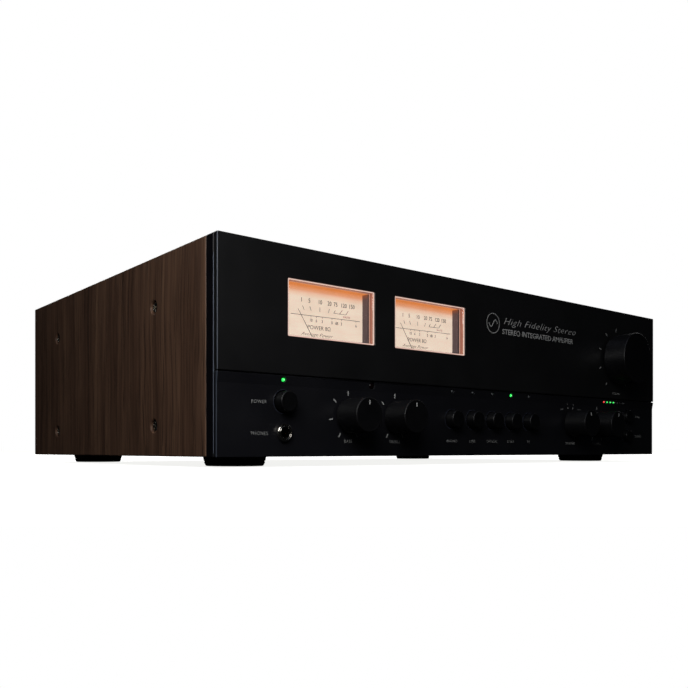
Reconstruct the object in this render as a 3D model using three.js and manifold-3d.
// Integrated stereo amplifier: a wood sleeve over a steel chassis, a black two-plate fascia with
// two backlit power meters, rotary controls and push buttons, and a recessed rear panel.
// Millimetres, +Z up, the fascia faces -Y. The origin is the middle of the footprint, on the floor.
import * as THREE from 'three';
import { mergeVertices } from 'three/addons/utils/BufferGeometryUtils.js';
import Module from 'manifold-3d';

const wasm = await Module();
wasm.setup();

// ------------------------------------------------------------------ driving sizes: the case
// Every place below is in the body's own axes: x from the left side, y back from the face of the
// fascia and z up from the underside of the sleeve.
const WIDTH = 465; // fascia and sleeve, side to side
const BODY_HEIGHT = 124; // fascia and sleeve, without the feet
const SLEEVE_DEPTH = 287;
const WOOD_THICK = 12;
const PLATE_THICK = 4; // aluminium fascia plates
const FRAME_DEPTH = 8; // moulded frame behind the plates
const FRAME_RIM = 4; // side wall of that frame
const FRAME_WEB = 2.7; // its front wall
const STEEL = 1.5; // tray sheet
const WALL_CLEAR = 1.2; // tray's walls to the sleeve's top
const REAR_STEEL = 2; // rear panel sheet
const REAR_RECESS = 20; // from the sleeve's rear edge in to the rear panel
const GAP = 0.3; // air between two pieces that meet
const OVER = 1; // how far a cutting shape runs past a face

const FOOT_HEIGHT = 6;
const FOOT_RADIUS = 20;
const FOOT_TAPER = 2;
const FOOT_RECESS = 5; // radius of the screw's recess
const FOOT_INSET = 42; // foot centre from the side
const FOOT_FROM_FRONT = 48;
const FOOT_FROM_BACK = 36;

const SCREW_RADIUS = 1.9;
const SCREW_HEAD_RADIUS = 4;
const SCREW_HEAD_THICK = 2.2;
const SCREW_SUNK = 0.8; // head below the wood
const SCREW_DOME = 0.8; // chamfer round the head
const SCREW_SLOT = { half: 2.4, halfWide: 0.5, deep: 0.9 };
const SCREW_INSIDE = 3; // thread past the tray wall
const SIDE_SCREW_FRONT = 76; // from the face
const SIDE_SCREW_BACK = 54.5; // from the sleeve's rear edge
const SIDE_SCREW_LOW = 19;
const SIDE_SCREW_HIGH = 31; // below the top

// ------------------------------------------------------------------ driving sizes: the fascia
const GROOVE_HEIGHT = 47.7; // middle of the groove between the two plates
const GROOVE = 0.8;
const STRIP_HEIGHT = 6; // sloped strip under the groove
const LOWER_RECESS = 1; // lower plate behind the upper one
const ROUND_SIDES = 20;
const SMALL_SIDES = 10;
const LAMP_SIDES = 6;

const VOLUME = { radius: 21.5, proud: 20, fromRight: 63, fromTop: 42.4 };
const TONE = { radius: 10.75, proud: 19, height: 25.2 };
const BASS_X = 95.5;
const TREBLE_X = 136;
const SPEAKERS_FROM_RIGHT = 130;
const BALANCE_FROM_RIGHT = 91.5;
const KNOB_EDGE = 0.9; // chamfer round a knob's front
const KNOB_CLEAR = 1.2; // knob's back to the panel
const STEM_RADIUS = 3;
const STEM_LENGTH = 29; // stem's end, from the face

const BUTTON = { radius: 6.1, proud: 5.5 };
const OUTPUT_BUTTON = { radius: 5.4, proud: 2.6 };
const BUTTON_TRAVEL = 2.2;
const BUTTON_FLANGE = 1.2; // flange wider than the cap
const BUTTON_FLANGE_THICK = 1.5;
const BUTTON_STEM_RADIUS = 2.5;
const BUTTON_STEM = 5.2;
const LEFT_COLUMN_X = 45.5; // power lamp, power button and phones socket
const POWER_HEIGHT = 32.1;
const PHONES_HEIGHT = 14;
const SOURCE_COUNT = 5;
const SOURCE_PITCH = 21.9;
const SOURCE_OFFSET = 2.9; // middle source button from the fascia's middle
const SOURCE_HEIGHT = 25.6;
const OUTPUT_FROM_RIGHT = 44.5;
const OUTPUT_HEIGHTS = [33.4, 16.1];

const LAMP_RADIUS = 1.2;
const LAMP_HEIGHT = 44.9;
const LAMP_PROUD = 0.2;
const LEVEL_COUNT = 7;
const LEVEL_PITCH = 4.97;
const LEVEL_FROM_RIGHT = 80.8; // first level lamp
const GUIDE_THICK = 2;
const GUIDE_TALL = 4;
const SENSOR_RADIUS = 2;
const SENSOR_X = 115.3;

const JACK_BORE = 3.2;
const JACK_BUSH = 4;
const JACK_NUT = 5.2;
const JACK_NUT_THICK = 2.2;
const JACK_BODY = 7; // half its side
const JACK_DEEP = 27;

// ------------------------------------------------------------------ driving sizes: the meters
const WINDOW = { width: 69, height: 34, above: 19.2 / 41.9, corner: 0.8 }; // above: share of spare height
const METER_XS = [48.4, 135.5]; // left edges of the two windows
const LENS_SUNK = 0.5;
const LENS_THICK = 1.5;
const LENS_SKIRT = 1.2;
const LENS_DEEP = 5.6; // end of the skirt, from the face
const DIAL_DEEP = 12.6; // dial's printed face, from the fascia's face
const DIAL_THICK = 0.8;
const DIAL_MARGIN = 1.5; // dial's pocket past the window
const HOUSING_WALL = 3;
const HOUSING_BACK = 24;
const PIVOT_DROP = 9.6; // needle's axis below the window
const PIVOT_RADIUS = 0.8;
const HUB_RADIUS = 3;
const HUB_THICK = 1.6;
const NEEDLE_LENGTH = 34.7;
const NEEDLE_WIDE = 0.6;
const NEEDLE_TAIL = 5;
const NEEDLE_REST = 34; // degrees left of upright at rest
const CHAMBER_HALF = 14; // space round the hub, under the window
const CHAMBER_BELOW = 6;

// ------------------------------------------------------------------ driving sizes: the rear
const POST_COLUMNS = 4;
const POST_PITCH = 28;
const POST_ROWS = [40, 72];
const POST_FIRST_X = 132;
const POST_RADIUS = 2.8;
const POST_LENGTH = 10.4;
const POST_BLOCK = { margin: 14, thick: 4, boss: 8 };
const POST_BOSS_INSIDE = 2; // past the panel's inner face
const CAP_RADIUS = 7.5;
const CAP_LENGTH = 12;
const CAP_SIDES = 12;
const CAP_END = 1.6; // closed end of a cap

const SOCKET_COLUMNS = 5;
const SOCKET_PITCH = 22;
const SOCKET_ROWS = [40, 64];
const SOCKET_LAST_FROM_RIGHT = 37;
const SOCKET_RADIUS = 4.2;
const SOCKET_BORE = 1.7;
const SOCKET_PROUD = 10;
const SOCKET_BASE = 7; // half the side of a socket's base
const OPTICAL = { half: 5.2, proud: 2, fromSockets: 20, height: 52 };

const INLET = { x: 62, height: 44, halfWide: 12.3, halfTall: 8.5, deep: 15, wall: 2, back: 2 };
const INLET_FLANGE = { halfWide: 24, halfTall: 14, thick: 2.2 };
const INLET_PIN = { halfWide: 1, halfTall: 2, long: 10, spacing: 7 };

const GROUND = { x: 268, height: 22, studRadius: 2, studLength: 11, nutRadius: 5, nutThick: 7 };

// ------------------------------------------------------------------ driving sizes: the inside
const BOARD = 1.6; // printed board
const CONTROL_BOARD_Y = 34;
const CONTROL_BOARD_TALL = 39;
const CONTROL_BOARD_INSET = 20;
const POT_HALF = 8;
const POT_DEEP = 13;
const SWITCH_HALF = 5;
const STANDOFF_RADIUS = 3;
const STANDOFF_FROM_TREBLE = 30; // middle stand-off, past the treble knob
const BURIED = 1; // how far a piece on a board runs into it
const TRANSFORMER = { x: 95, fromFace: 108, radius: 46, height: 52, fillet: 9, boltRadius: 9, boltProud: 2 };
const SINK = { x: 168, wide: 150, deep: 38, height: 88, base: 8, fins: 11, fin: 2.4, fromPanel: 24 };
const SINK_CLEAR = 4; // main board to the heat sink
const MAIN_BOARD = { x: 160, fromRight: 25, front: 50, height: 12 };
const CAPACITOR = { radius: 15, height: 48, firstX: 190, pitch: 38, count: 2, fromFront: 32 };
const COIL = { radius: 8, height: 22, firstX: 300, pitch: 30, count: 4, fromFront: 90 };
const RELAY = { half: 9, height: 20, firstX: 330, pitch: 40, count: 3, fromFront: 35 };

const GRILLE = { wide: 300, deep: 130, fromFront: 120, thick: 1.6, ledge: 3, rows: 2, bar: 8 };
const SLOT = { wide: 6, pitch: 12.4 };
const TRAY_VENT = { rows: 2, columns: 12, wide: 4, long: 40, pitch: 14, x: 150, fromFace: 90 };
const REAR_VENT = { columns: 9, wide: 3, tall: 16, pitch: 12, x: 120, height: 92 };

// ------------------------------------------------------------------ places worked out from them
const FRAME_FRONT = PLATE_THICK + GAP;
const WEB_BACK = FRAME_FRONT + FRAME_WEB;
const BEHIND_WEB = WEB_BACK + GAP; // front of what is screwed to the frame
const FASCIA_BACK = PLATE_THICK + FRAME_DEPTH;
const SLEEVE_BACK = FASCIA_BACK + SLEEVE_DEPTH;
const PANEL_FACE = SLEEVE_BACK - REAR_RECESS; // rear panel's outer face
const PANEL_INNER = PANEL_FACE - REAR_STEEL;
const DEPTH = VOLUME.proud + SLEEVE_BACK;
const TRAY_FLOOR = 0.8; // underside of the tray
const TRAY_TOP = TRAY_FLOOR + STEEL;
const INSIDE_FLOOR = TRAY_TOP + GAP;
const SIDE_INNER = WOOD_THICK + GAP; // tray's side wall, from the side
const INSIDE_TOP = BODY_HEIGHT - WOOD_THICK;
const SWITCH_FRONT = BEHIND_WEB + BUTTON_FLANGE_THICK + BUTTON_STEM + BUTTON_TRAVEL + GAP;
const LOWER_TOP = GROOVE_HEIGHT - GROOVE / 2;
const UPPER_BOTTOM = GROOVE_HEIGHT + GROOVE / 2;
const CAP_FRONT = PANEL_FACE + GAP + POST_BLOCK.thick + OVER;

const volumePlace = { x: WIDTH - VOLUME.fromRight, z: BODY_HEIGHT - VOLUME.fromTop };
const knobs = [
  { name: 'volume_knob', ...volumePlace, radius: VOLUME.radius, proud: VOLUME.proud, face: 0 },
  ...[
    ['bass_knob', BASS_X],
    ['treble_knob', TREBLE_X],
    ['speaker_selector_knob', WIDTH - SPEAKERS_FROM_RIGHT],
    ['balance_knob', WIDTH - BALANCE_FROM_RIGHT],
  ].map(([name, x]) => ({ name, x, z: TONE.height, face: LOWER_RECESS, ...TONE })),
];
const sourceX = (i) => WIDTH / 2 + SOURCE_OFFSET + (i - (SOURCE_COUNT - 1) / 2) * SOURCE_PITCH;
const buttons = [
  { name: 'power_button', x: LEFT_COLUMN_X, z: POWER_HEIGHT, ...BUTTON },
  ...count(SOURCE_COUNT).map((i) => ({
    name: `source_button_${i + 1}`,
    x: sourceX(i),
    z: SOURCE_HEIGHT,
    ...BUTTON,
  })),
  ...['upper', 'lower'].map((which, i) => ({
    name: `output_button_${which}`,
    x: WIDTH - OUTPUT_FROM_RIGHT,
    z: OUTPUT_HEIGHTS[i],
    ...OUTPUT_BUTTON,
  })),
];
const lampXs = [
  LEFT_COLUMN_X,
  ...count(SOURCE_COUNT).map(sourceX),
  ...count(LEVEL_COUNT).map((i) => WIDTH - LEVEL_FROM_RIGHT + i * LEVEL_PITCH),
];
// The upper plate's spare height is shared out above and below the windows.
const windowFromTop = (BODY_HEIGHT - UPPER_BOTTOM - WINDOW.height) * WINDOW.above;
const pivotHeight = BODY_HEIGHT - windowFromTop - WINDOW.height - PIVOT_DROP;
const meters = ['left', 'right'].map((side, i) => ({
  side,
  x: METER_XS[i] + WINDOW.width / 2,
  z: pivotHeight,
}));
const screwYs = [SIDE_SCREW_FRONT, SLEEVE_BACK - SIDE_SCREW_BACK];
const screwZs = [SIDE_SCREW_LOW, BODY_HEIGHT - SIDE_SCREW_HIGH];
const posts = POST_ROWS.flatMap((z) =>
  count(POST_COLUMNS).map((i) => ({ x: POST_FIRST_X + i * POST_PITCH, z })),
);
const socketX = (i) =>
  WIDTH - SOCKET_LAST_FROM_RIGHT - (SOCKET_COLUMNS - 1 - i) * SOCKET_PITCH;
const sockets = SOCKET_ROWS.flatMap((z) => count(SOCKET_COLUMNS).map((i) => ({ x: socketX(i), z })));
const opticalX = socketX(0) - OPTICAL.fromSockets;

// ------------------------------------------------------------------ materials
const paint = (color, roughness, metalness = 0, more = {}) => () =>
  new THREE.MeshStandardMaterial({ color, roughness, metalness, ...more });
const walnut = paint(0x3a281e, 0.55);
const anodised = paint(0x141415, 0.42, 0.6);
const blackSteel = paint(0x1b1b1d, 0.5, 0.5);
const zincSteel = paint(0x8f9296, 0.4, 0.9);
const blackPlastic = paint(0x121214, 0.45);
const rubber = paint(0x18181a, 0.85);
const steelBright = paint(0xc4c6c8, 0.25, 1);
const clearPlastic = paint(0xf3ece2, 0.08, 0, { transparent: true, opacity: 0.35 });
const dialCard = paint(0xfae8d5, 0.7, 0, { emissive: 0xe0a060, emissiveIntensity: 0.6 });
const greenBoard = paint(0x1e5a36, 0.6);
const goldPlate = paint(0xc9a24a, 0.3, 1);
const bareAluminium = paint(0xa9abad, 0.45, 0.9);
const copperTape = paint(0x8a5a34, 0.5, 0.4);

// ------------------------------------------------------------------ solids
function count(n) {
  return Array.from({ length: n }, (_, i) => i);
}

// A closed three.js geometry as a solid that can be joined and cut. Faces that a lathe pinches to
// nothing on its axis are left out.
function toSolid(geometry) {
  geometry.deleteAttribute('normal');
  geometry.deleteAttribute('uv');
  const merged = mergeVertices(geometry, 1e-4);
  const corners = merged.index.array;
  const faces = [];
  for (let i = 0; i < corners.length; i += 3) {
    const [a, b, c] = corners.slice(i, i + 3);
    if (a !== b && b !== c && c !== a) faces.push(a, b, c);
  }
  const vertProperties = merged.attributes.position.array;
  const triVerts = new Uint32Array(faces);
  return new wasm.Manifold(new wasm.Mesh({ numProp: 3, vertProperties, triVerts }));
}

// A solid as a geometry whose faces are shaded flat.
function toGeometry(solid) {
  const { vertProperties, triVerts } = solid.getMesh();
  const shared = new THREE.BufferGeometry();
  shared.setAttribute('position', new THREE.BufferAttribute(vertProperties, 3));
  shared.setIndex(new THREE.BufferAttribute(triVerts, 1));
  const faceted = shared.toNonIndexed();
  faceted.computeVertexNormals();
  return faceted;
}

const join = (first, ...rest) => rest.reduce((sum, next) => sum.add(next), first);
const cut = (first, ...tools) => tools.reduce((left, tool) => left.subtract(tool), first);

// A box between two values on each axis.
function block([x0, x1], [y0, y1], [z0, z1]) {
  const geometry = new THREE.BoxGeometry(x1 - x0, y1 - y0, z1 - z0);
  return toSolid(geometry.translate((x0 + x1) / 2, (y0 + y1) / 2, (z0 + z1) / 2));
}

// A box of the given half sizes about (x, z), from y0 back to y1.
const boxAt = (x, z, halfWide, halfTall, y0, y1) =>
  block([x - halfWide, x + halfWide], [y0, y1], [z - halfTall, z + halfTall]);

// A round bar along Y about (x, z).
function rod(radius, y0, y1, x = 0, z = 0, sides = SMALL_SIDES) {
  const geometry = new THREE.CylinderGeometry(radius, radius, y1 - y0, sides);
  return toSolid(geometry.translate(x, (y0 + y1) / 2, z));
}

// A round bar along X, for the holes of the side screws.
function sideRod(radius, x0, x1, y, z) {
  const geometry = new THREE.CylinderGeometry(radius, radius, x1 - x0, SMALL_SIDES);
  geometry.rotateZ(Math.PI / 2);
  return toSolid(geometry.translate((x0 + x1) / 2, y, z));
}

// An upright round bar.
function pillar(radius, z0, z1, x, y, sides = SMALL_SIDES) {
  const geometry = new THREE.CylinderGeometry(radius, radius, z1 - z0, sides);
  geometry.rotateX(Math.PI / 2);
  return toSolid(geometry.translate(x, y, (z0 + z1) / 2));
}

// A profile of [radius, y] points turned about the Y axis.
function turned(profile, sides = ROUND_SIDES) {
  const points = profile.map(([radius, y]) => new THREE.Vector2(radius, y));
  return toSolid(new THREE.LatheGeometry(points, sides));
}

// A rectangle with round corners, x0 to x1 and z0 to z1, carried from y0 back to y1.
function windowBlock([x0, x1], [z0, z1], corner, y0, y1) {
  const shape = new THREE.Shape();
  shape.moveTo(x0 + corner, z0);
  shape.lineTo(x1 - corner, z0);
  shape.absarc(x1 - corner, z0 + corner, corner, -Math.PI / 2, 0);
  shape.lineTo(x1, z1 - corner);
  shape.absarc(x1 - corner, z1 - corner, corner, 0, Math.PI / 2);
  shape.lineTo(x0 + corner, z1);
  shape.absarc(x0 + corner, z1 - corner, corner, Math.PI / 2, Math.PI);
  shape.lineTo(x0, z0 + corner);
  shape.absarc(x0 + corner, z0 + corner, corner, Math.PI, Math.PI * 1.5);
  const geometry = new THREE.ExtrudeGeometry(shape, {
    depth: y1 - y0,
    bevelEnabled: false,
    curveSegments: 4,
  });
  return toSolid(geometry.rotateX(Math.PI / 2).translate(0, y1, 0));
}

// A closed outline of [y, z] points carried along X.
function sideProfile(points, x0, x1) {
  const shape = new THREE.Shape(points.map(([y, z]) => new THREE.Vector2(y, z)));
  const geometry = new THREE.ExtrudeGeometry(shape, { depth: x1 - x0, bevelEnabled: false });
  const [x, y, z] = [0, 1, 2].map((axis) => new THREE.Vector3().setComponent(axis, 1));
  geometry.applyMatrix4(new THREE.Matrix4().makeBasis(y, z, x));
  return toSolid(geometry.translate(x0, 0, 0));
}

// ------------------------------------------------------------------ the case
const sides = [
  { name: 'left', outer: 0, inward: 1 },
  { name: 'right', outer: WIDTH, inward: -1 },
];

// A round hole through one side, from `from` to `to` millimetres in from the outer face.
function sideHole(side, radius, from, to, y, z) {
  const ends = [side.outer + side.inward * from, side.outer + side.inward * to];
  return sideRod(radius, Math.min(...ends), Math.max(...ends), y, z);
}

const everySideScrew = (make) =>
  sides.flatMap((side) => screwYs.flatMap((y) => screwZs.map((z) => make(side, y, z))));

function woodSleeve() {
  const back = SLEEVE_BACK;
  const front = FASCIA_BACK + GAP;
  const board = block([0, WIDTH], [front, back], [0, BODY_HEIGHT]);
  const inside = block(
    [WOOD_THICK, WIDTH - WOOD_THICK],
    [front - OVER, back + OVER],
    [-OVER, INSIDE_TOP],
  );
  const counterbore = SCREW_SUNK + SCREW_HEAD_THICK + GAP;
  return cut(
    board,
    inside,
    grilleBlock(-GRILLE.ledge, INSIDE_TOP - OVER, BODY_HEIGHT + OVER),
    grilleBlock(GAP, BODY_HEIGHT - GRILLE.thick - GAP, BODY_HEIGHT + OVER),
    ...everySideScrew((side, y, z) =>
      sideHole(side, SCREW_RADIUS + GAP, -OVER, WOOD_THICK + OVER, y, z),
    ),
    ...everySideScrew((side, y, z) =>
      sideHole(side, SCREW_HEAD_RADIUS + GAP, -OVER, counterbore, y, z),
    ),
  );
}

// The grille's outline, grown by `more` on every side, between two heights.
function grilleBlock(more, z0, z1) {
  const left = (WIDTH - GRILLE.wide) / 2;
  return block(
    [left - more, left + GRILLE.wide + more],
    [GRILLE.fromFront - more, GRILLE.fromFront + GRILLE.deep + more],
    [z0, z1],
  );
}

function topGrille() {
  const top = BODY_HEIGHT - GAP;
  const plate = grilleBlock(0, top - GRILLE.thick, top);
  const columns = Math.floor((GRILLE.wide - 2 * GRILLE.bar) / SLOT.pitch);
  const long = (GRILLE.deep - (GRILLE.rows + 1) * GRILLE.bar) / GRILLE.rows;
  const firstX = WIDTH / 2 - ((columns - 1) * SLOT.pitch) / 2;
  const slots = count(GRILLE.rows).flatMap((row) =>
    count(columns).map((i) => {
      const x = firstX + i * SLOT.pitch;
      const y = GRILLE.fromFront + GRILLE.bar + row * (long + GRILLE.bar);
      return block(
        [x - SLOT.wide / 2, x + SLOT.wide / 2],
        [y, y + long],
        [top - GRILLE.thick - OVER, top + OVER],
      );
    }),
  );
  return cut(plate, ...slots);
}

function chassisTray() {
  const [left, right] = [SIDE_INNER, WIDTH - SIDE_INNER];
  const front = FASCIA_BACK + GAP;
  const back = PANEL_FACE;
  const wallTop = INSIDE_TOP - WALL_CLEAR;
  const tray = join(
    block([left, right], [front, back], [TRAY_FLOOR, TRAY_TOP]),
    block([left, left + STEEL], [front, back], [TRAY_FLOOR, wallTop]),
    block([right - STEEL, right], [front, back], [TRAY_FLOOR, wallTop]),
  );
  const vents = count(TRAY_VENT.rows).flatMap((row) =>
    count(TRAY_VENT.columns).map((i) => {
      const x = TRAY_VENT.x + i * TRAY_VENT.pitch;
      const y = TRAY_VENT.fromFace + row * (TRAY_VENT.long + TRAY_VENT.pitch);
      return block(
        [x, x + TRAY_VENT.wide],
        [y, y + TRAY_VENT.long],
        [TRAY_FLOOR - OVER, TRAY_TOP + OVER],
      );
    }),
  );
  const holes = everySideScrew((side, y, z) =>
    sideHole(side, SCREW_RADIUS + GAP, WOOD_THICK, SIDE_INNER + STEEL + OVER, y, z),
  );
  return cut(tray, ...vents, ...holes);
}

// A pan-head screw, its head's face at the origin and its thread along +Y.
function sideScrew() {
  const head = SCREW_HEAD_THICK;
  const end = WOOD_THICK + GAP + STEEL + SCREW_INSIDE - SCREW_SUNK;
  const slot = boxAt(0, 0, SCREW_SLOT.half, SCREW_SLOT.halfWide, -OVER, SCREW_SLOT.deep);
  const profile = [
    [0, 0],
    [SCREW_HEAD_RADIUS - SCREW_DOME, 0],
    [SCREW_HEAD_RADIUS, SCREW_DOME],
    [SCREW_HEAD_RADIUS, head],
    [SCREW_RADIUS, head],
    [SCREW_RADIUS, end],
    [0, end],
  ];
  return cut(turned(profile, SMALL_SIDES), slot);
}

// A rubber foot with a screw recess underneath, its sole at y = 0 and its top along +Y.
function foot() {
  const top = FOOT_HEIGHT + TRAY_FLOOR - GAP;
    return turned([
    [0, top / 2],
    [FOOT_RECESS, top / 2],
    [FOOT_RECESS, 0],
    [FOOT_RADIUS - FOOT_TAPER, 0],
    [FOOT_RADIUS, top],
    [0, top],
  ]);
}

// ------------------------------------------------------------------ the fascia
const meterWindow = (x, y0, y1) =>
  windowBlock(
    [x - WINDOW.width / 2, x + WINDOW.width / 2],
    [pivotHeight + PIVOT_DROP, pivotHeight + PIVOT_DROP + WINDOW.height],
    WINDOW.corner,
    y0,
    y1,
  );

// Everything that passes through the fascia, as cutting shapes from y0 back to y1.
function fasciaOpenings(y0, y1) {
  return [
    ...meters.map(({ x }) => meterWindow(x, y0, y1)),
    ...knobs.map(({ x, z }) => rod(STEM_RADIUS + GAP, y0, y1, x, z)),
    ...buttons.map(({ x, z, radius }) => rod(radius + GAP, y0, y1, x, z, ROUND_SIDES)),
    ...lampXs.map((x) => rod(LAMP_RADIUS + GAP, y0, y1, x, LAMP_HEIGHT, LAMP_SIDES)),
    rod(SENSOR_RADIUS + GAP, y0, y1, SENSOR_X, LAMP_HEIGHT),
    rod(JACK_BUSH + GAP, y0, y1, LEFT_COLUMN_X, PHONES_HEIGHT),
  ];
}

function fasciaUpper() {
  const plate = block([0, WIDTH], [0, PLATE_THICK], [UPPER_BOTTOM, BODY_HEIGHT]);
  return cut(plate, ...fasciaOpenings(-OVER, PLATE_THICK + OVER));
}

// The lower plate stands back a little, and its sloped top strip carries the lamps.
function fasciaLower() {
  const outline = [
    [LOWER_RECESS, 0],
    [PLATE_THICK, 0],
    [PLATE_THICK, LOWER_TOP],
    [0, LOWER_TOP],
    [LOWER_RECESS, LOWER_TOP - STRIP_HEIGHT],
  ];
  const plate = sideProfile(outline, 0, WIDTH);
  return cut(plate, ...fasciaOpenings(-OVER, PLATE_THICK + OVER));
}

function fasciaFrame() {
  const back = FASCIA_BACK;
  const inset = [FRAME_RIM, WIDTH - FRAME_RIM];
  const outer = block([0, WIDTH], [FRAME_FRONT, back], [0, BODY_HEIGHT]);
  const pocket = block(inset, [WEB_BACK, back + OVER], [FRAME_RIM, BODY_HEIGHT - FRAME_RIM]);
  return cut(outer, pocket, ...fasciaOpenings(FRAME_FRONT - OVER, WEB_BACK + OVER));
}

// One clear moulding: a bar behind the frame with a pin forward to each lamp hole.
function indicatorLightGuide() {
  const face = (LOWER_RECESS * (LOWER_TOP - LAMP_HEIGHT)) / STRIP_HEIGHT;
  const [first, last] = [lampXs[0], lampXs[lampXs.length - 1]];
  const bar = block(
    [first - GUIDE_TALL / 2, last + GUIDE_TALL / 2],
    [BEHIND_WEB, BEHIND_WEB + GUIDE_THICK],
    [LAMP_HEIGHT - GUIDE_TALL / 2, LAMP_HEIGHT + GUIDE_TALL / 2],
  );
  const [y0, y1] = [face - LAMP_PROUD, BEHIND_WEB + GUIDE_THICK / 2];
  const pin = (x) => rod(LAMP_RADIUS, y0, y1, x, LAMP_HEIGHT, LAMP_SIDES);
  return join(bar, ...lampXs.map(pin));
}

function remoteSensorWindow() {
  return rod(SENSOR_RADIUS, 0, WEB_BACK - GAP, 0, 0);
}

// A knob with its stem, on the Y axis, with y = 0 at the fascia's face.
function knob({ radius, proud, face }) {
  const back = face - KNOB_CLEAR;
  return turned([
    [0, -proud],
    [radius - KNOB_EDGE, -proud],
    [radius, KNOB_EDGE - proud],
    [radius, back],
    [STEM_RADIUS, back],
    [STEM_RADIUS, STEM_LENGTH],
    [0, STEM_LENGTH],
  ]);
}

// A push button: its cap, the flange that keeps it behind the frame, and its stem.
function button({ radius, proud }) {
  const flangeEnd = BEHIND_WEB + BUTTON_FLANGE_THICK;
  return turned([
    [0, -proud],
    [radius - KNOB_EDGE, -proud],
    [radius, KNOB_EDGE - proud],
    [radius, BEHIND_WEB],
    [radius + BUTTON_FLANGE, BEHIND_WEB],
    [radius + BUTTON_FLANGE, flangeEnd],
    [BUTTON_STEM_RADIUS, flangeEnd],
    [BUTTON_STEM_RADIUS, flangeEnd + BUTTON_STEM],
    [0, flangeEnd + BUTTON_STEM],
  ]);
}

function phoneJack() {
  const front = LOWER_RECESS - JACK_NUT_THICK - GAP;
  const body = join(
    rod(JACK_BUSH, front, BEHIND_WEB + OVER, 0, 0, ROUND_SIDES),
    boxAt(0, 0, JACK_BODY, JACK_BODY, BEHIND_WEB, CONTROL_BOARD_Y - GAP),
  );
  return cut(body, rod(JACK_BORE, front - OVER, JACK_DEEP, 0, 0, ROUND_SIDES));
}

function phoneJackNut() {
  const back = LOWER_RECESS - GAP;
  const front = back - JACK_NUT_THICK + GAP;
  const nut = rod(JACK_NUT, front, back, 0, 0, ROUND_SIDES);
  return cut(nut, rod(JACK_BUSH + GAP, front - OVER, back + OVER, 0, 0, ROUND_SIDES));
}

// ------------------------------------------------------------------ the meters
// A meter's own axes: the origin is where the needle's axis meets the fascia's face.
const windowHalf = WINDOW.width / 2;
const windowTop = PIVOT_DROP + WINDOW.height;
const pocketFront = DIAL_DEEP - GAP;
const pocketBack = DIAL_DEEP + DIAL_THICK + GAP;
const hubBack = DIAL_DEEP - HUB_THICK / 2;
const hubFront = hubBack - HUB_THICK;

function meterHousing() {
  const [wide, tall] = [windowHalf + HOUSING_WALL, windowTop + HOUSING_WALL];
  const low = -CHAMBER_BELOW;
  const outer = block([-wide, wide], [BEHIND_WEB, HOUSING_BACK], [low - 2 * DIAL_MARGIN, tall]);
  const tunnel = block(
    [-windowHalf, windowHalf],
    [BEHIND_WEB - OVER, pocketBack],
    [PIVOT_DROP, windowTop],
  );
  const chamberFront = hubFront - 2 * GAP;
  const chamber = block([-CHAMBER_HALF, CHAMBER_HALF], [chamberFront, pocketBack], [low, windowTop]);
  const pocket = dialBlock(0, pocketFront, pocketBack);
  const pin = rod(PIVOT_RADIUS, hubFront - GAP, pocketBack + OVER);
  return join(cut(outer, tunnel, chamber, pocket), pin);
}

// The dial's outline, shrunk by `less` on every side, from y0 back to y1.
function dialBlock(less, y0, y1) {
  const half = windowHalf + DIAL_MARGIN - less;
  return block([-half, half], [y0, y1], [less - CHAMBER_BELOW, windowTop + DIAL_MARGIN - less]);
}

function meterDial() {
  const plate = dialBlock(GAP, DIAL_DEEP, DIAL_DEEP + DIAL_THICK);
  const hole = rod(PIVOT_RADIUS + 2 * GAP, DIAL_DEEP - OVER, pocketBack + OVER);
  return cut(plate, hole);
}

// The needle stands upright here; its mesh is turned back to the rest angle.
function meterNeedle() {
  const middle = (hubFront + hubBack) / 2;
  const half = NEEDLE_WIDE / 2;
  const pointer = block([-half, half], [middle - half, middle + half], [-NEEDLE_TAIL, NEEDLE_LENGTH]);
  const bore = rod(PIVOT_RADIUS + GAP, hubFront - OVER, hubBack + OVER);
  return cut(join(rod(HUB_RADIUS, hubFront, hubBack), pointer), bore);
}

function meterLens() {
  const outerHalf = windowHalf - GAP;
  const zs = [PIVOT_DROP + GAP, windowTop - GAP];
  const skirt = LENS_SKIRT;
  const outer = windowBlock([-outerHalf, outerHalf], zs, WINDOW.corner, LENS_SUNK, LENS_DEEP);
  const hollow = block(
    [skirt - outerHalf, outerHalf - skirt],
    [LENS_SUNK + LENS_THICK, LENS_DEEP + OVER],
    [zs[0] + skirt, zs[1] - skirt],
  );
  return cut(outer, hollow);
}

// ------------------------------------------------------------------ the rear
const postMiddleX = POST_FIRST_X + ((POST_COLUMNS - 1) * POST_PITCH) / 2;
const postMiddleZ = (POST_ROWS[0] + POST_ROWS[1]) / 2;
const postHalfWide = ((POST_COLUMNS - 1) * POST_PITCH) / 2 + POST_BLOCK.margin;
const postHalfTall = (POST_ROWS[1] - POST_ROWS[0]) / 2 + POST_BLOCK.margin;
const postBoss = (grow, y0, y1) =>
  boxAt(
    postMiddleX,
    postMiddleZ,
    postHalfWide - POST_BLOCK.boss + grow,
    postHalfTall - POST_BLOCK.boss + grow,
    y0,
    y1,
  );

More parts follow.
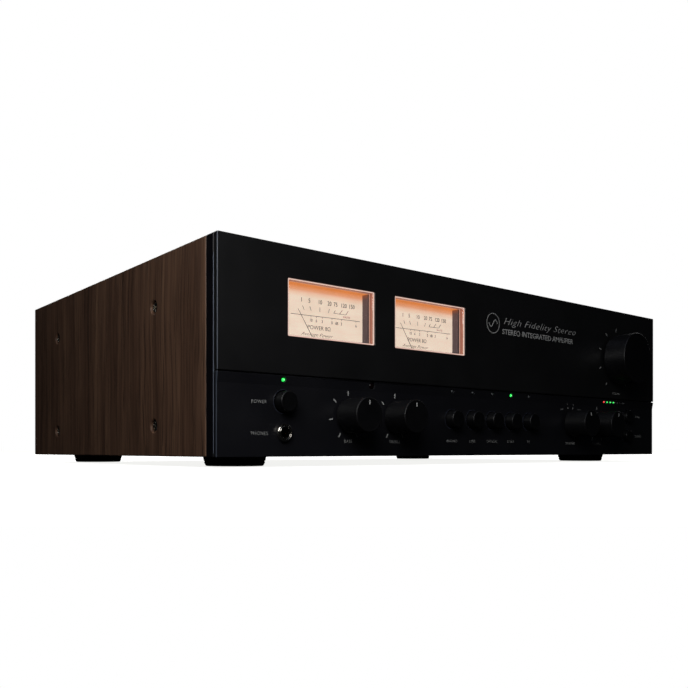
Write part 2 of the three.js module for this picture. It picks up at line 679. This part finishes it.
function rearPanel() {
  const left = SIDE_INNER + STEEL + GAP;
  const sheet = block([left, WIDTH - left], [PANEL_INNER, PANEL_FACE], [INSIDE_FLOOR, INSIDE_TOP - GAP]);
  const [y0, y1] = [PANEL_INNER - OVER, PANEL_FACE + OVER];
  const inletHalf = INLET.halfWide + INLET.wall + GAP;
  const vent = { halfWide: REAR_VENT.wide / 2, halfTall: REAR_VENT.tall / 2 };
  const vents = count(REAR_VENT.columns).map((i) => {
    const x = REAR_VENT.x + i * REAR_VENT.pitch;
    return boxAt(x, REAR_VENT.height, vent.halfWide, vent.halfTall, y0, y1);
  });
  const panel = cut(
    sheet,
    postBoss(GAP, y0, y1),
    ...sockets.map(({ x, z }) => rod(SOCKET_RADIUS + GAP, y0, y1, x, z)),
    boxAt(opticalX, OPTICAL.height, OPTICAL.half + GAP, OPTICAL.half + GAP, y0, y1),
    boxAt(INLET.x, INLET.height, inletHalf, INLET.halfTall + INLET.wall + GAP, y0, y1),
    ...vents,
  );
  const stud = rod(GROUND.studRadius, PANEL_INNER, PANEL_FACE + GROUND.studLength, GROUND.x, GROUND.height);
  return join(panel, stud);
}

function bindingPostBlock() {
  const front = PANEL_FACE + GAP;
  const plate = boxAt(postMiddleX, postMiddleZ, postHalfWide, postHalfTall, front, front + POST_BLOCK.thick);
  const studEnd = CAP_FRONT + POST_LENGTH - GAP;
  const studs = posts.map(({ x, z }) => rod(POST_RADIUS, front, studEnd, x, z));
  return join(plate, postBoss(0, PANEL_INNER - POST_BOSS_INSIDE, front + OVER), ...studs);
}

// A twelve-sided screw cap with a blind bore, its open end at y = 0.
function bindingPostCap() {
  const bore = POST_RADIUS + GAP;
  const boreEnd = CAP_LENGTH - CAP_END;
  return turned(
    [
      [0, boreEnd],
      [bore, boreEnd],
      [bore, 0],
      [CAP_RADIUS, 0],
      [CAP_RADIUS, CAP_LENGTH - KNOB_EDGE],
      [CAP_RADIUS - KNOB_EDGE, CAP_LENGTH],
      [0, CAP_LENGTH],
    ],
    CAP_SIDES,
  );
}

function groundNut() {
  const nut = rod(GROUND.nutRadius, 0, GROUND.nutThick, 0, 0, CAP_SIDES);
  return cut(nut, rod(GROUND.studRadius + GAP, -OVER, GROUND.nutThick + OVER));
}

function inputSocketBoard() {
  const boardBack = PANEL_INNER - GAP - SOCKET_BASE;
  const boardFront = boardBack - BOARD;
  const xs = [opticalX - 2 * SOCKET_BASE, socketX(SOCKET_COLUMNS - 1) + SOCKET_BASE + OVER];
  const board = block(xs, [boardFront, boardBack], [INSIDE_FLOOR, SOCKET_ROWS[1] + 2 * SOCKET_BASE]);
  const base = SOCKET_BASE;
  const bases = sockets.map(({ x, z }) => boxAt(x, z, base, base, boardBack - OVER / 2, PANEL_INNER - GAP));
  const end = PANEL_FACE + SOCKET_PROUD;
  const barrels = sockets.map(({ x, z }) => rod(SOCKET_RADIUS, boardBack, end, x, z));
  const bores = sockets.map(({ x, z }) => rod(SOCKET_BORE, PANEL_FACE, end + OVER, x, z, LAMP_SIDES));
  const { half, proud, height } = OPTICAL;
  const optical = boxAt(opticalX, height, half, half, boardBack - OVER / 2, PANEL_FACE + proud);
  return cut(join(board, ...bases, ...barrels, optical), ...bores);
}

function mainsInlet() {
  const { x, height: z, halfWide, halfTall, deep, wall, back } = INLET;
  const face = PANEL_FACE + GAP + INLET_FLANGE.thick;
  const floor = face - deep;
  const shell = join(
    boxAt(x, z, halfWide + wall, halfTall + wall, floor - back, face),
    boxAt(x, z, INLET_FLANGE.halfWide, INLET_FLANGE.halfTall, PANEL_FACE + GAP, face),
  );
  const pins = [-1, 0, 1].map((i) => {
    const [pinX, pinEnd] = [x + i * INLET_PIN.spacing, floor + INLET_PIN.long];
    return boxAt(pinX, z, INLET_PIN.halfWide, INLET_PIN.halfTall, floor - OVER, pinEnd);
  });
  return join(cut(shell, boxAt(x, z, halfWide, halfTall, floor, face + OVER)), ...pins);
}

// ------------------------------------------------------------------ the inside
// The board behind the fascia, with the pots and switches that the knobs and buttons work.
function controlBoard() {
  const [y0, y1] = [CONTROL_BOARD_Y, CONTROL_BOARD_Y + BOARD];
  const bottom = INSIDE_FLOOR + GAP;
  const top = bottom + CONTROL_BOARD_TALL;
  const inset = CONTROL_BOARD_INSET;
  const strip = block([inset, WIDTH - inset], [y0, y1], [bottom, top]);
  const towerHalf = 2 * POT_HALF;
  const tower = block(
    [volumePlace.x - towerHalf, volumePlace.x + towerHalf],
    [y0, y1],
    [bottom, volumePlace.z + towerHalf],
  );
  const potFront = y0 - POT_DEEP;
  const pots = knobs.map(({ x, z }) => boxAt(x, z, POT_HALF, POT_HALF, potFront, y0 + BOARD / 2));
  const bores = knobs.map(({ x, z }) => rod(STEM_RADIUS + GAP, potFront - OVER, STEM_LENGTH + GAP, x, z));
  const switches = buttons.map(({ x, z }) =>
    boxAt(x, z, SWITCH_HALF, SWITCH_HALF, SWITCH_FRONT, y0 + BOARD / 2),
  );
  const standoffXs = [
    inset + 2 * STANDOFF_RADIUS,
    TREBLE_X + STANDOFF_FROM_TREBLE,
    WIDTH - inset - STANDOFF_RADIUS,
  ];
  const standoffs = standoffXs.flatMap((x) =>
    [FRAME_RIM + GAP + STANDOFF_RADIUS, top - STANDOFF_RADIUS].map((z) =>
      rod(STANDOFF_RADIUS, BEHIND_WEB, y0 + BOARD / 2, x, z, LAMP_SIDES),
    ),
  );
  return cut(join(strip, tower, ...pots, ...switches, ...standoffs), ...bores);
}

function mainBoard() {
  const xs = [MAIN_BOARD.x, WIDTH - MAIN_BOARD.fromRight];
  const ys = [MAIN_BOARD.front, PANEL_INNER - SINK.fromPanel - SINK.deep - SINK_CLEAR];
  const top = MAIN_BOARD.height + BOARD;
  const board = block(xs, ys, [MAIN_BOARD.height, top]);
  const row = ({ radius, height, firstX, pitch, count: n, fromFront }) =>
    count(n).map((i) => pillar(radius, top - BURIED, top + height, firstX + i * pitch, ys[0] + fromFront));
  const relays = count(RELAY.count).map((i) => {
    const x = RELAY.firstX + i * RELAY.pitch;
    const y = ys[0] + RELAY.fromFront;
    const half = RELAY.half;
    return block([x - half, x + half], [y - half, y + half], [top - BURIED, top + RELAY.height]);
  });
  const legs = xs.flatMap((x, i) =>
    ys.map((y, j) => {
      const inset = 2 * STANDOFF_RADIUS;
      const [legX, legY] = [x + (i ? -inset : inset), y + (j ? -inset : inset)];
      return pillar(STANDOFF_RADIUS, INSIDE_FLOOR, top - BURIED, legX, legY, LAMP_SIDES);
    }),
  );
  return join(board, ...row(CAPACITOR), ...row(COIL), ...relays, ...legs);
}

// A comb-shaped extrusion: a thick base towards the front, fins towards the rear.
function heatSink() {
  const back = PANEL_INNER - SINK.fromPanel;
  const front = back - SINK.deep;
  const zs = [INSIDE_FLOOR, INSIDE_FLOOR + SINK.height];
  const base = block([SINK.x, SINK.x + SINK.wide], [front, front + SINK.base], zs);
  const step = (SINK.wide - SINK.fin) / (SINK.fins - 1);
  const fins = count(SINK.fins).map((i) =>
    block([SINK.x + i * step, SINK.x + i * step + SINK.fin], [front + OVER, back], zs),
  );
  return join(base, ...fins);
}

// A ring-core transformer with its clamping bolt, standing on y = 0 with its axis along +Y.
function powerTransformer() {
  const { radius, height, fillet, boltRadius, boltProud } = TRANSFORMER;
  const arc = (middleY, from) =>
    [0, 0.5, 1].map((t) => {
      const angle = from + (t * Math.PI) / 2;
      return [radius - fillet + fillet * Math.cos(angle), middleY + fillet * Math.sin(angle)];
    });
  return turned([
    [0, 0],
    ...arc(fillet, -Math.PI / 2),
    ...arc(height - fillet, 0),
    [boltRadius, height],
    [boltRadius, height + boltProud],
    [0, height + boltProud],
  ]);
}

// ------------------------------------------------------------------ the assembly
const UPRIGHT = Math.PI / 2; // about X: turns a piece made along +Y to stand along +Z

function place(group, name, solid, material, [x, y, z] = [0, 0, 0], [rx, ry, rz] = [0, 0, 0]) {
  const mesh = new THREE.Mesh(toGeometry(solid), material());
  mesh.name = name;
  mesh.position.set(x, y, z);
  mesh.rotation.set(rx, ry, rz);
  group.add(mesh);
}

function buildCase(body) {
  place(body, 'wood_sleeve', woodSleeve(), walnut);
  place(body, 'top_grille', topGrille(), blackSteel);
  place(body, 'chassis_tray', chassisTray(), blackSteel);
  place(body, 'rear_panel', rearPanel(), blackSteel);
  for (const side of sides) {
    const turn = -side.inward * UPRIGHT;
    let number = 1;
    for (const y of screwYs) {
      for (const z of screwZs) {
        const x = side.outer + side.inward * SCREW_SUNK;
        place(body, `side_screw_${side.name}_${number}`, sideScrew(), zincSteel, [x, y, z], [0, 0, turn]);
        number += 1;
      }
    }
    for (const [end, y] of [['front', FOOT_FROM_FRONT], ['rear', SLEEVE_BACK - FOOT_FROM_BACK]]) {
      const x = side.outer + side.inward * FOOT_INSET;
      place(body, `foot_${end}_${side.name}`, foot(), rubber, [x, y, -FOOT_HEIGHT], [UPRIGHT, 0, 0]);
    }
  }
}

function buildFascia(body) {
  place(body, 'fascia_frame', fasciaFrame(), blackPlastic);
  place(body, 'fascia_upper', fasciaUpper(), anodised);
  place(body, 'fascia_lower', fasciaLower(), anodised);
  place(body, 'indicator_light_guide', indicatorLightGuide(), clearPlastic);
  const sensorPlace = [SENSOR_X, GAP, LAMP_HEIGHT];
  place(body, 'remote_sensor_window', remoteSensorWindow(), blackPlastic, sensorPlace);
  for (const each of knobs) place(body, each.name, knob(each), blackPlastic, [each.x, 0, each.z]);
  for (const each of buttons) place(body, each.name, button(each), blackPlastic, [each.x, 0, each.z]);
  const jackPlace = [LEFT_COLUMN_X, 0, PHONES_HEIGHT];
  place(body, 'phone_jack', phoneJack(), steelBright, jackPlace);
  place(body, 'phone_jack_nut', phoneJackNut(), steelBright, jackPlace);
  place(body, 'control_board', controlBoard(), greenBoard);
}

function buildMeter(body, { side, x, z }) {
  const meter = new THREE.Group();
  meter.position.set(x, 0, z);
  place(meter, `meter_${side}_housing`, meterHousing(), blackPlastic);
  place(meter, `meter_${side}_dial`, meterDial(), dialCard);
  const lean = THREE.MathUtils.degToRad(-NEEDLE_REST);
  place(meter, `meter_${side}_needle`, meterNeedle(), blackPlastic, [0, 0, 0], [0, lean, 0]);
  place(meter, `meter_${side}_lens`, meterLens(), clearPlastic);
  body.add(meter);
}

function buildRear(body) {
  place(body, 'binding_post_block', bindingPostBlock(), blackPlastic);
  posts.forEach(({ x, z }, i) =>
    place(body, `binding_post_cap_${i + 1}`, bindingPostCap(), goldPlate, [x, CAP_FRONT, z]),
  );
  place(body, 'input_socket_board', inputSocketBoard(), goldPlate);
  place(body, 'mains_inlet', mainsInlet(), blackPlastic);
  place(body, 'ground_nut', groundNut(), steelBright, [GROUND.x, PANEL_FACE + OVER, GROUND.height]);
}

function buildInside(body) {
  place(body, 'main_board', mainBoard(), greenBoard);
  place(body, 'heat_sink', heatSink(), bareAluminium);
  const { x, fromFace } = TRANSFORMER;
  const stand = [x, fromFace, INSIDE_FLOOR];
  place(body, 'power_transformer', powerTransformer(), copperTape, stand, [UPRIGHT, 0, 0]);
}

const amplifier = new THREE.Group();
amplifier.name = 'integrated_amplifier';
const body = new THREE.Group();
body.position.set(-WIDTH / 2, VOLUME.proud - DEPTH / 2, FOOT_HEIGHT);
amplifier.add(body);
buildCase(body);
buildFascia(body);
meters.forEach((meter) => buildMeter(body, meter));
buildRear(body);
buildInside(body);

export default amplifier;
